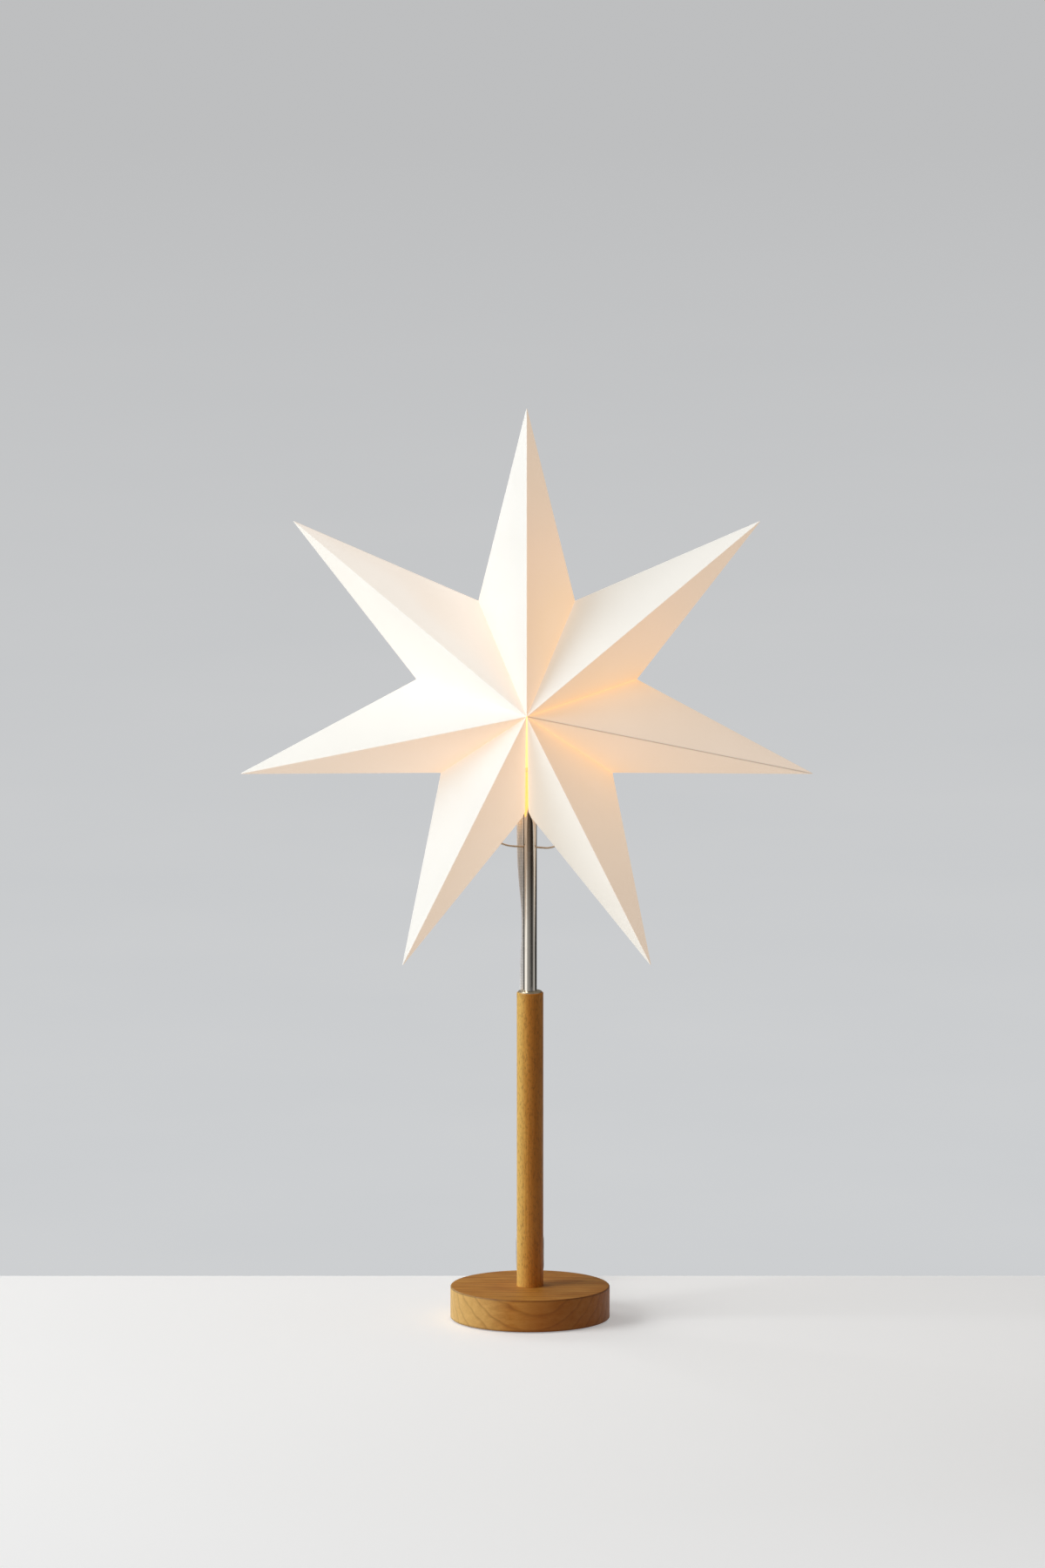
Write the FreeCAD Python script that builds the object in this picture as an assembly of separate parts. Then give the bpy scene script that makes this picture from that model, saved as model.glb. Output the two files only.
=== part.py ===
import FreeCAD, Part
import math
import os

from FreeCAD import Vector

os.makedirs("parts", exist_ok=True)

# Table lamp with a seven-pointed folded paper star. Millimetres, Z up.
# The lamp stands on the table at z = 0, its post is the Z axis, and the star faces -Y.

# Foot and post
pad_diameter = 84.0
pad_thickness = 1.6
pad_proud = 0.6
base_diameter = 95.0
base_thickness = 19.2
edge_softening = 0.4
post_diameter = 15.8
post_length = 177.7
post_chamfer = 0.5
screw_shank = 4.0
screw_head = 8.0
screw_head_depth = 3.6
screw_drive_diameter = 3.4
screw_drive_depth = 2.2
screw_grip = 34.0
pilot_past_screw = 1.0
screw_clearance = 0.15

# Rod and its bush in the top of the post
rod_diameter = 8.0
rod_length = 162.0
ferrule_flange_diameter = 14.0
ferrule_flange_height = 0.8
ferrule_body_diameter = 11.0
ferrule_body_depth = 20.0
ferrule_floor = 2.0
fit_clearance = 0.05

# Lampholder
holder_diameter = 28.0
holder_wall = 1.5
holder_corner = 2.0
cap_height = 17.0
cap_floor = 2.6
sleeve_height = 33.0
sleeve_lip_width = 2.6
sleeve_lip_height = 2.0
sleeve_rounding = 0.9
collar_diameter = 12.0
collar_height = 3.6
nut_flats = 13.0
nut_height = 4.0
rod_past_nut = 1.0
block_height = 9.0
block_clearance = 0.1
socket_bore = 14.2
socket_wall = 0.5
socket_height = 18.0
terminal_screw_diameter = 3.0
terminal_screw_head = 4.8
terminal_screw_head_height = 1.6
terminal_screw_length = 7.0
terminal_spacing = 13.0
contact_width = 4.0
contact_thickness = 0.5
contact_length = 9.0
contact_rise = 2.0

# Bulb
bulb_cap_diameter = 13.7
bulb_cap_length = 17.0
bulb_cap_slope = 2.0
bulb_tip_diameter = 4.6
bulb_tip_height = 2.2
bulb_neck_radius = 7.4
bulb_globe_radius = 14.0
bulb_glass_length = 44.0

# Star
star_radius = 176.5
corner_radius = 66.8
centre_depth = 57.5
paper = 0.4
past_centre = 4.0
star_centre_height = 373.7
star_forward = 5.5
star_left = 2.0
top_half_angle = 25.4
upper_half_angle = 26.6
side_half_angle = 25.8
flap_width = 6.5
flap_start = 6.0
flap_end_margin = 7.0
flap_slope = 14.0
closing_flap_start = 30.0
closing_flap_end = 120.0
fold_width = 0.5
slit_width_at_centre = 0.5
slit_width_at_corner = 2.0
centre_hole_diameter = 1.6
mouth_margin = 0.4

# Tie string
string_diameter = 1.0
string_knot_diameter = 2.6
string_gap = 0.35
string_left_from_corner = 24.5
string_right_from_corner = 26.8
string_inside = 4.0
string_outside = 1.4
string_height = 284.2
string_hole_diameter = 1.8

# Cord. It is 4 mm across and round, with a fabric cover.
cord_diameter = 4.0
grip_length = 20.0
grip_top_diameter = 6.4
grip_bottom_diameter = 4.8
grip_x = -6.0
grip_y = 8.5
hank_length = 80.0
hank_width = 16.0
hank_height = 28.0
hank_rounding = 3.0
hank_start = 104.0
tie_thickness = 0.5
tie_width = 4.0
cord_bend_share = 0.45
top_strand_inset = 2.0
first_strand_x = -6.0

# Plug with two round pins, lying on its flat side behind the foot
plug_width = 35.0
plug_height = 13.7
plug_rear = 97.0
plug_x = first_strand_x
plug_length = 29.0
plug_bevel = 3.6
plug_flange = 8.0
plug_shoulder = 7.0
plug_relief = 6.0
plug_grip_width = 24.0
plug_grip_height = 11.2
plug_waist_width = 17.0
plug_waist_height = 8.2
plug_end_width = 8.8
plug_end_height = 6.0
pin_diameter = 4.0
pin_length = 19.0
pin_spacing = 18.6
pin_root = 6.0

# Places that follow from the sizes above
base_bottom = pad_proud
base_top = base_bottom + base_thickness
post_top = base_top + post_length
rod_bottom = post_top + ferrule_flange_height - ferrule_body_depth + ferrule_floor
rod_top = rod_bottom + rod_length
nut_bottom = rod_top - rod_past_nut - nut_height
cap_bottom = nut_bottom - cap_floor
cap_top = cap_bottom + cap_height
sleeve_top = cap_top + sleeve_height
block_bottom = cap_top
block_top = block_bottom + block_height
socket_bottom = block_top
contact_top = socket_bottom + contact_rise
bulb_bottom = contact_top
bulb_cap_bottom = bulb_bottom + bulb_tip_height
bulb_glass_bottom = bulb_cap_bottom + bulb_cap_length
star_centre = Vector(-star_left, -star_forward, star_centre_height)
lower_half_angle = 90 - top_half_angle / 2 - upper_half_angle - side_half_angle
grip_bottom = cap_bottom - grip_length

# Points of the cord's route from the strain relief to the put-away hank
cord_route = [
    (grip_x, grip_y, grip_bottom),
    (grip_x, grip_y, 296.0),
    (-5.6, 8.0, 271.0),
    (-2.4, 8.5, 240.0),
    (-4.4, 9.9, 207.0),
    (-3.4, 11.3, 172.0),
    (-1.4, 10.8, 134.0),
    (0.3, 11.9, 98.0),
    (0.4, 17.5, 64.0),
    (-0.2, 37.0, 41.0),
    (-2.5, 62.0, 31.0),
    (first_strand_x, 84.0, hank_height - top_strand_inset),
    (first_strand_x, hank_start, hank_height - top_strand_inset),
]


def write(node, shape):
    """Check one sub-part and write it as a STEP file."""
    if not shape.isValid():
        raise ValueError(node + " is not a valid shape")
    print(node, "solids", len(shape.Solids), "volume", round(shape.Volume, 2))
    shape.exportStep("parts/" + node + ".step")


def only_solid(shape):
    """The single solid of a boolean result, with its split faces joined."""
    joined = shape.removeSplitter()
    if len(joined.Solids) != 1:
        raise ValueError("expected one solid, got " + str(len(joined.Solids)))
    return joined.Solids[0]


def rod(diameter, height, bottom=0.0, x=0.0, y=0.0):
    return Part.makeCylinder(diameter / 2, height, Vector(x, y, bottom))


def round_edges(shape):
    """The closed circular edges of a shape."""
    return [edge for edge in shape.Edges if len(edge.Vertexes) == 1]


def edges_above(shape, height):
    return [edge for edge in round_edges(shape) if edge.BoundBox.ZMin > height]


def edges_below(shape, height):
    return [edge for edge in round_edges(shape) if edge.BoundBox.ZMax < height]


def solid_from_faces(corners, faces):
    """A flat-faced solid from its corners and the corner numbers of each face."""
    sides = []
    for face in faces:
        loop = [corners[number] for number in face]
        sides.append(Part.Face(Part.makePolygon(loop + [loop[0]])))
    solid = Part.Solid(Part.Shell(sides))
    if solid.Volume < 0:
        solid.reverse()
    return solid


# Paper star. Each ray is bounded by four flat facets through its tip. In the ray's own frame
# Z runs from the star's centre to the tip, X is clockwise and Y is the star's depth.


def ray_half_angles():
    """Half the angle of each ray at the star's centre, clockwise from the lower left ray."""
    half = [lower_half_angle, side_half_angle, upper_half_angle]
    return half + [top_half_angle] + half[::-1]


def ray_directions():
    """Angle of each ray, clockwise from straight up."""
    angles = []
    valley = -180.0
    for half in ray_half_angles():
        angles.append(valley + half)
        valley += 2 * half
    return angles


def half_width_at_centre(half_angle):
    """Half the width that a ray's facets reach when they are carried on to the star's centre."""
    half = math.radians(half_angle)
    along = corner_radius * math.cos(half)
    across = corner_radius * math.sin(half)
    return across * star_radius / (star_radius - along)


def facet_distance():
    """Distance of the top ray's facet planes from the star's centre."""
    half_width = half_width_at_centre(top_half_angle)
    terms = (half_width, centre_depth, star_radius)
    return 1 / math.sqrt(sum(1 / term**2 for term in terms))


def outer_level():
    return 1.0


def inner_level():
    return 1 - paper / facet_distance()


def flap_level():
    return 1 - 2 * paper / facet_distance()


def facets(half_angle, level, foot):
    """The pyramid inside a ray's facets, shrunk about the star's centre by level."""
    reach = level + foot / star_radius
    side = half_width_at_centre(half_angle) * reach
    depth = centre_depth * reach
    corners = [
        Vector(side, 0, -foot),
        Vector(0, depth, -foot),
        Vector(-side, 0, -foot),
        Vector(0, -depth, -foot),
        Vector(0, 0, star_radius * level),
    ]
    faces = [(0, 1, 4), (1, 2, 4), (2, 3, 4), (3, 0, 4), (0, 3, 2, 1)]
    return solid_from_faces(corners, faces)


def sheet(half_angle, outer, inner):
    """The layer of paper between two levels of a ray's facets."""
    outside = facets(half_angle, outer, past_centre)
    return outside.cut(facets(half_angle, inner, 2 * past_centre))


def star_slab(outline, near=None, far=None):
    """A prism through the star's depth over an outline of (across, outward) points."""
    low = -2 * centre_depth if near is None else near
    high = 2 * centre_depth if far is None else far
    points = [Vector(across, low, outward) for across, outward in outline]
    face = Part.Face(Part.makePolygon(points + [points[0]]))
    return face.extrude(Vector(0, high - low, 0))


def turned_to(shape, angle):
    """A copy turned clockwise about the star's depth axis."""
    copy = shape.copy()
    copy.rotate(Vector(0, 0, 0), Vector(0, 1, 0), angle)
    return copy


def wedge(half_angle):
    """All of a ray's sector of the star."""
    reach = 2 * star_radius
    side = reach * math.tan(math.radians(half_angle))
    return star_slab([(0, 0), (side, reach), (-side, reach)])


def valley_flap(this_half, next_half, valley, this_angle, next_angle):
    """The glue flap that carries one ray's sheet on under the next ray."""
    end = corner_radius - flap_end_margin
    outline = [
        (0, flap_start),
        (flap_width, flap_start + flap_slope),
        (flap_width, end - flap_width),
        (0, end),
    ]
    fold = [(0, flap_start), (0, end), (-fold_width, end), (-fold_width, flap_start)]
    under_next = turned_to(sheet(next_half, inner_level(), flap_level()), next_angle)
    under_this = turned_to(sheet(this_half, inner_level(), flap_level()), this_angle)
    flap = under_next.common(turned_to(star_slab(outline), valley))
    bend = under_this.common(turned_to(star_slab(fold), valley))
    return [flap, bend]


def closing_flap(half_angle):
    """The glue flap inside the back ridge, where the ray's own sheet is closed."""
    outline = [
        (0, closing_flap_start),
        (flap_width, closing_flap_start + flap_slope),
        (flap_width, closing_flap_end - flap_slope),
        (0, closing_flap_end),
    ]
    layer = sheet(half_angle, inner_level(), flap_level())
    return layer.common(star_slab(outline, near=0.0))


def slit():
    """The open valley below the star's centre, a little wider at its foot."""
    top = slit_width_at_centre / 2
    foot = slit_width_at_corner / 2
    reach = corner_radius + past_centre
    outline = [(-top, -past_centre), (top, -past_centre), (foot, reach), (-foot, reach)]
    return star_slab(outline)


def mouth():
    """Upright opening round the rod and the cord at the back of the slit's foot."""
    rod_reach = rod_diameter / 2 + mouth_margin
    cord_reach = grip_bottom_diameter / 2 + mouth_margin
    apart = math.hypot(grip_x, grip_y)
    radius = (apart + rod_reach + cord_reach) / 2
    share = (radius - rod_reach) / apart
    foot = star_centre_height - corner_radius - radius
    return rod(2 * radius, 2 * radius + corner_radius / 2, foot, grip_x * share, grip_y * share)


def rim_point(side, from_corner):
    """A point on the rim of a lower ray, and the direction into that ray. Side is -1 or 1."""
    tip_angle = math.radians(180 - lower_half_angle)
    tip = Vector(side * math.sin(tip_angle), 0, math.cos(tip_angle)) * star_radius
    corner = Vector(0, 0, -corner_radius)
    along = (tip - corner).normalize()
    inward = Vector(side * -along.z, 0, side * along.x)
    return star_centre + corner + along * from_corner, inward


def string_points():
    """Knot, rim hole and the way behind the rod for each end of the tie string."""
    left, left_in = rim_point(-1, string_left_from_corner)
    right, right_in = rim_point(1, string_right_from_corner)
    behind = rod_diameter / 2 + string_diameter / 2 + string_gap
    side = rod_diameter / 2 - string_diameter / 2
    return [
        left + left_in * string_inside,
        left - left_in * string_outside,
        Vector(-side, behind, string_height),
        Vector(side, behind, string_height),
        right - right_in * string_outside,
        right + right_in * string_inside,
    ]


def string_holes():
    """Holes for the tie string through the rims of the two lower rays."""
    points = string_points()
    holes = []
    for inside, outside in [(points[0], points[1]), (points[5], points[4])]:
        way = outside - inside
        length = way.Length + string_diameter
        holes.append(Part.makeCylinder(string_hole_diameter / 2, length, inside, way))
    return holes


def centre_hole():
    """The small opening that the tips of the facets leave at the star's centre, front and back."""
    start = Vector(0, -2 * centre_depth, 0)
    return Part.makeCylinder(centre_hole_diameter / 2, 4 * centre_depth, start, Vector(0, 1, 0))


def rays():
    """The seven ray sheets, clockwise from the lower left one."""
    halves = ray_half_angles()
    angles = ray_directions()
    last = len(halves) - 1
    made = []
    for number, half in enumerate(halves):
        shell = sheet(half, outer_level(), inner_level()).common(wedge(half))
        shell = shell.fuse(closing_flap(half))
        shell = turned_to(shell, angles[number])
        if number < last:
            valley = angles[number] + half
            next_half = halves[number + 1]
            for piece in valley_flap(half, next_half, valley, angles[number], angles[number + 1]):
                shell = shell.fuse(piece)
        if number in (0, last):
            shell = shell.cut(turned_to(slit(), 180))
        shell = shell.cut(centre_hole())
        shell.translate(star_centre)
        if number in (0, last):
            shell = shell.cut(mouth())
            for hole in string_holes():
                shell = shell.cut(hole)
        made.append(only_solid(shell))
    return made


# Cord and string


def bent_path(points):
    """Straight runs joined by arcs that are as large as the runs allow."""
    edges = []
    radii = []
    start = points[0]
    for number in range(1, len(points) - 1):
        corner = points[number]
        back = points[number - 1] - corner
        ahead = points[number + 1] - corner
        shorter = min(back.Length, ahead.Length)
        back.normalize()
        ahead.normalize()
        half_turn = (math.pi - back.getAngle(ahead)) / 2
        trim = cord_bend_share * shorter
        radius = trim / math.tan(half_turn)
        first = corner + back * trim
        last = corner + ahead * trim
        to_centre = (back + ahead).normalize()
        centre = corner + to_centre * math.hypot(trim, radius)
        middle = centre - to_centre * radius
        edges.append(Part.LineSegment(start, first).toShape())
        edges.append(Part.Arc(first, middle, last).toShape())
        radii.append(round(radius, 1))
        start = last
    edges.append(Part.LineSegment(start, points[-1]).toShape())
    return Part.Wire(edges), radii


def tube(points, diameter, label):
    """A round cord along a bent path, with its radii and volume printed for checking."""
    path, radii = bent_path(points)
    start = points[0]
    ahead = points[1] - points[0]
    section = Part.Wire(Part.Circle(start, ahead, diameter / 2).toShape())
    solid = path.makePipeShell([section], True, True)
    expected = math.pi * diameter**2 / 4 * path.Length
    print(label, "length", round(path.Length, 1), "radii", radii)
    print(label, "volume share", round(solid.Volume / expected, 4))
    return solid


def tie_string():
    points = string_points()
    string = tube(points, string_diameter, "tie string")
    for end in (points[0], points[-1]):
        string = string.fuse(Part.makeSphere(string_knot_diameter / 2, end))
    return only_solid(string)


def mains_cord():
    return tube([Vector(*point) for point in cord_route], cord_diameter, "cord")


def cord_tail():
    start = Vector(plug_x, plug_rear, plug_height / 2)
    return Part.makeCylinder(cord_diameter / 2, hank_start - plug_rear, start, Vector(0, 1, 0))


def cord_hank():
    corner = Vector(-hank_width / 2, hank_start, 0)
    block = Part.makeBox(hank_width, hank_length, hank_height, corner)
    return only_solid(block.makeFillet(hank_rounding, long_edges(block)))


def long_edges(block):
    """The edges of a block that run along Y."""
    picked = []
    for edge in block.Edges:
        if edge.tangentAt(edge.FirstParameter).isParallel(Vector(0, 1, 0), 0.01):
            picked.append(edge)
    return picked


def hank_tie():
    middle = hank_start + hank_length / 2
    outer = Part.makeBox(
        hank_width + 2 * tie_thickness,
        tie_width,
        hank_height + tie_thickness,
        Vector(-hank_width / 2 - tie_thickness, middle - tie_width / 2, 0),
    )
    outer = outer.makeFillet(hank_rounding, long_edges(outer))
    return only_solid(outer.cut(cord_hank()))


def plug_section(width, height, from_face):
    """An eight-sided outline across the plug."""
    y = plug_rear - plug_length + from_face
    bevel = min(plug_bevel, height / 3)
    half_width = width / 2
    half_height = height / 2
    middle = plug_height / 2
    quarter = [(half_width, half_height - bevel), (half_width - 2 * bevel, half_height)]
    ring = quarter + [(-x, z) for x, z in quarter[::-1]]
    ring += [(-x, -z) for x, z in ring]
    points = [Vector(plug_x + x, y, middle + z) for x, z in ring]
    return Part.makePolygon(points + [points[0]])


def plug_body():
    face = plug_rear - plug_length
    sections = [
        plug_section(plug_width, plug_height, 0),
        plug_section(plug_width, plug_height, plug_flange),
        plug_section(plug_grip_width, plug_grip_height, plug_flange + plug_shoulder),
        plug_section(plug_waist_width, plug_waist_height, plug_length - plug_relief),
        plug_section(plug_end_width, plug_end_height, plug_length),
    ]
    body = Part.makeLoft(sections, True, True)
    for across in (-pin_spacing / 2, pin_spacing / 2):
        socket = Vector(plug_x + across, face, plug_height / 2)
        body = body.cut(Part.makeCylinder(pin_diameter / 2, pin_root, socket, Vector(0, 1, 0)))
    return only_solid(body)


def plug_pins():
    face = plug_rear - plug_length
    pins = []
    radius = pin_diameter / 2
    for across in (-pin_spacing / 2, pin_spacing / 2):
        start = Vector(plug_x + across, face - pin_length + radius, plug_height / 2)
        shaft = Part.makeCylinder(radius, pin_length + pin_root - radius, start, Vector(0, 1, 0))
        nose = Part.makeSphere(radius, start)
        pins.append(only_solid(shaft.fuse(nose)))
    return Part.makeCompound(pins)


def cord_grip():
    foot = Vector(grip_x, grip_y, grip_bottom)
    taper = Part.makeCone(grip_bottom_diameter / 2, grip_top_diameter / 2, grip_length, foot)
    return only_solid(taper.fuse(rod(grip_top_diameter, cap_floor, cap_bottom, grip_x, grip_y)))


# Foot, post and rod


def base_disc():
    disc = rod(base_diameter, base_thickness, base_bottom)
    disc = disc.makeChamfer(edge_softening, round_edges(disc))
    recess = rod(pad_diameter + screw_clearance, pad_thickness - pad_proud, base_bottom)
    hole = rod(screw_shank + 2 * screw_clearance, base_thickness, base_bottom)
    head = rod(screw_head + 2 * screw_clearance, screw_head_depth, base_bottom + pad_thickness - pad_proud)
    return only_solid(disc.cut(recess).cut(hole).cut(head))


def felt_pad():
    return rod(pad_diameter, pad_thickness)


def base_screw():
    start = pad_thickness
    head = rod(screw_head, screw_head_depth, start)
    shank = rod(screw_shank, base_top - start + screw_grip, start)
    drive = rod(screw_drive_diameter, screw_drive_depth, start)
    return only_solid(head.fuse(shank).cut(drive))


def wooden_post():
    post = rod(post_diameter, post_length, base_top)
    post = post.makeChamfer(post_chamfer, edges_above(post, base_top))
    pilot = rod(screw_shank + 2 * fit_clearance, screw_grip + pilot_past_screw, base_top)
    bore_bottom = post_top + ferrule_flange_height - ferrule_body_depth
    top_bore = rod(ferrule_body_diameter + 2 * fit_clearance, ferrule_body_depth, bore_bottom)
    return only_solid(post.cut(pilot).cut(top_bore))


def post_ferrule():
    body_bottom = post_top + ferrule_flange_height - ferrule_body_depth
    body = rod(ferrule_body_diameter, ferrule_body_depth, body_bottom)
    flange = rod(ferrule_flange_diameter, ferrule_flange_height, post_top)
    bore = rod(rod_diameter + 2 * fit_clearance, ferrule_body_depth, rod_bottom)
    return only_solid(body.fuse(flange).cut(bore))


def nickel_rod():
    return rod(rod_diameter, rod_length, rod_bottom)


# Lampholder and bulb


def rod_collar():
    bottom = cap_bottom - collar_height
    ring = rod(collar_diameter, collar_height, bottom)
    ring = ring.makeChamfer(edge_softening, round_edges(ring))
    return only_solid(ring.cut(rod(rod_diameter + 2 * fit_clearance, collar_height, bottom)))


def rod_nut():
    reach = nut_flats / math.sqrt(3)
    corners = []
    for number in range(6):
        angle = math.radians(60 * number)
        corners.append(Vector(reach * math.cos(angle), reach * math.sin(angle), nut_bottom))
    prism = Part.Face(Part.makePolygon(corners + [corners[0]])).extrude(Vector(0, 0, nut_height))
    return only_solid(prism.cut(rod(rod_diameter + 2 * fit_clearance, nut_height, nut_bottom)))


def holder_cap():
    outer = rod(holder_diameter, cap_height, cap_bottom)
    outer = outer.makeFillet(holder_corner, edges_below(outer, cap_top))
    inner = rod(holder_diameter - 2 * holder_wall, cap_height, cap_bottom + cap_floor)
    rod_hole = rod(rod_diameter + 2 * fit_clearance, cap_floor, cap_bottom)
    cord_hole = rod(grip_top_diameter + 2 * fit_clearance, cap_floor, cap_bottom, grip_x, grip_y)
    return only_solid(outer.cut(inner).cut(rod_hole).cut(cord_hole))


def holder_sleeve():
    outer = rod(holder_diameter, sleeve_height, cap_top)
    outer = outer.makeFillet(sleeve_rounding, edges_above(outer, cap_top))
    inside_diameter = holder_diameter - 2 * holder_wall
    inner = rod(inside_diameter, sleeve_height - sleeve_lip_height, cap_top)
    opening = rod(inside_diameter - 2 * sleeve_lip_width, sleeve_height, cap_top)
    return only_solid(outer.cut(inner).cut(opening))


def contact_block():
    block = rod(holder_diameter - 2 * holder_wall - 2 * block_clearance, block_height, block_bottom)
    hole_diameter = terminal_screw_diameter + 2 * fit_clearance
    for x in (-terminal_spacing / 2, terminal_spacing / 2):
        block = block.cut(rod(hole_diameter, terminal_screw_length, block_bottom, x))
    return only_solid(block)


def thread_shell():
    outer = rod(socket_bore + 2 * socket_wall, socket_height, socket_bottom)
    inner = rod(socket_bore, socket_height, socket_bottom + socket_wall)
    floor_hole = rod(socket_bore - 4 * socket_wall, socket_wall, socket_bottom)
    return only_solid(outer.cut(inner).cut(floor_hole))


def contact_strip(length, height, bottom):
    start = Vector(-length / 2, -contact_width / 2, bottom)
    return Part.makeBox(length, contact_width, height, start)


def centre_contact():
    """A bent spring strip: foot, riser and the pad that meets the bulb."""
    foot = contact_strip(contact_length, contact_thickness, socket_bottom)
    riser = contact_strip(contact_thickness, contact_rise, socket_bottom)
    top = contact_strip(contact_length / 2, contact_thickness, contact_top - contact_thickness)
    return only_solid(foot.fuse(riser).fuse(top))


def terminal_screws():
    screws = []
    for x in (-terminal_spacing / 2, terminal_spacing / 2):
        shank = rod(terminal_screw_diameter, terminal_screw_length, block_bottom, x)
        head_bottom = block_bottom - terminal_screw_head_height
        head = rod(terminal_screw_head, terminal_screw_head_height, head_bottom, x)
        screws.append(only_solid(shank.fuse(head)))
    return Part.makeCompound(screws)


def light_bulb():
    """A sealed bulb: contact tip, screw cap and pear-shaped glass in one turned solid."""
    tip = Vector(bulb_tip_diameter / 2, 0, bulb_bottom)
    tip_top = Vector(bulb_tip_diameter / 2, 0, bulb_cap_bottom)
    cap_radius = bulb_cap_diameter / 2
    cap_foot = Vector(cap_radius, 0, bulb_cap_bottom + bulb_cap_slope)
    cap_end = Vector(cap_radius, 0, bulb_glass_bottom)
    neck = Vector(bulb_neck_radius, 0, bulb_glass_bottom)
    globe_middle = bulb_glass_bottom + bulb_glass_length - bulb_globe_radius
    widest = Vector(bulb_globe_radius, 0, globe_middle)
    crown = Vector(0, 0, globe_middle + bulb_globe_radius)
    slant = bulb_globe_radius * math.sqrt(0.5)
    shoulder = Part.BSplineCurve()
    waist = (neck + widest) / 2
    upright = Vector(0, 0, 1)
    shoulder.interpolate([neck, waist, widest], InitialTangent=upright, FinalTangent=upright)
    edges = [
        Part.makeLine(Vector(0, 0, bulb_bottom), tip),
        Part.makeLine(tip, tip_top),
        Part.makeLine(tip_top, cap_foot),
        Part.makeLine(cap_foot, cap_end),
        Part.makeLine(cap_end, neck),
        shoulder.toShape(),
        Part.Arc(widest, Vector(slant, 0, globe_middle + slant), crown).toShape(),
        Part.makeLine(crown, Vector(0, 0, bulb_bottom)),
    ]
    face = Part.Face(Part.Wire(edges))
    return only_solid(face.revolve(Vector(0, 0, 0), Vector(0, 0, 1), 360))


ray_names = [
    "ray_lower_left",
    "ray_left",
    "ray_upper_left",
    "ray_top",
    "ray_upper_right",
    "ray_right",
    "ray_lower_right",
]

for name, ray in zip(ray_names, rays()):
    write(name, ray)

write("tie_string", tie_string())
write("base_disc", base_disc())
write("felt_pad", felt_pad())
write("base_screw", base_screw())
write("wooden_post", wooden_post())
write("post_ferrule", post_ferrule())
write("nickel_rod", nickel_rod())
write("rod_collar", rod_collar())
write("rod_nut", rod_nut())
write("holder_cap", holder_cap())
write("holder_sleeve", holder_sleeve())
write("contact_block", contact_block())
write("thread_shell", thread_shell())
write("centre_contact", centre_contact())
write("terminal_screws", terminal_screws())
write("light_bulb", light_bulb())
write("cord_grip", cord_grip())
write("mains_cord", mains_cord())
write("cord_hank", cord_hank())
write("hank_tie", hank_tie())
write("cord_tail", cord_tail())
write("plug_body", plug_body())
write("plug_pins", plug_pins())
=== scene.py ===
import math
from contextlib import contextmanager

import bmesh
import bpy
from mathutils import Matrix, Vector, noise


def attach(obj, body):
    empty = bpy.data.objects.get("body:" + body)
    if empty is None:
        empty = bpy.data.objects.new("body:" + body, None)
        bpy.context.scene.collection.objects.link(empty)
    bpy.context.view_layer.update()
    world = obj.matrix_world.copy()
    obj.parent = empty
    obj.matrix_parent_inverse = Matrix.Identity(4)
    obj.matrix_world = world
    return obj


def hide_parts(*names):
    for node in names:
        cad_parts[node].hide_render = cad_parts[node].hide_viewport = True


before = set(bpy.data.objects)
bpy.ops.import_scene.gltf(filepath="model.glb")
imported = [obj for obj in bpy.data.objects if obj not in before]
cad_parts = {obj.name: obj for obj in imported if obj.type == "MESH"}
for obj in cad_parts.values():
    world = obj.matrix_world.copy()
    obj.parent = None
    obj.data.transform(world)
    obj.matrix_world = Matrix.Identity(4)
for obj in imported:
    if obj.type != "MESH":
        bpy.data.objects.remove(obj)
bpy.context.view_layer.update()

# Table lamp with a folded paper star, in the frame of the solids: the post is the Z axis, the
# table is z = 0 and the star faces -Y. Lengths are in metres, or millimetres where MM scales them.
MM = 0.001

STAR_CENTRE = Vector((-0.0020, -0.0055, 0.3737))
STAR_RADIUS = 0.1765
CORNER_RADIUS = 0.0668
STAR_DEPTH = 0.0575
PAPER = 0.0004
HALF_ANGLES = [24.9, 25.8, 26.6, 25.4, 26.6, 25.8, 24.9]
RAY_NAMES = ["lower_left", "left", "upper_left", "top", "upper_right", "right", "lower_right"]
GLOW_CENTRE = Vector((0.0, 0.0, 0.408))
DAYLIGHT = Vector((-0.852, -0.310, 0.423))
TABLE_EDGE = 0.1285

FOOT_RADIUS = 47.5
FOOT_LOW = 0.6
FOOT_TOP = 19.8
POST_RADIUS = 7.9
POST_TOP = 197.5


# Node helpers


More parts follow.
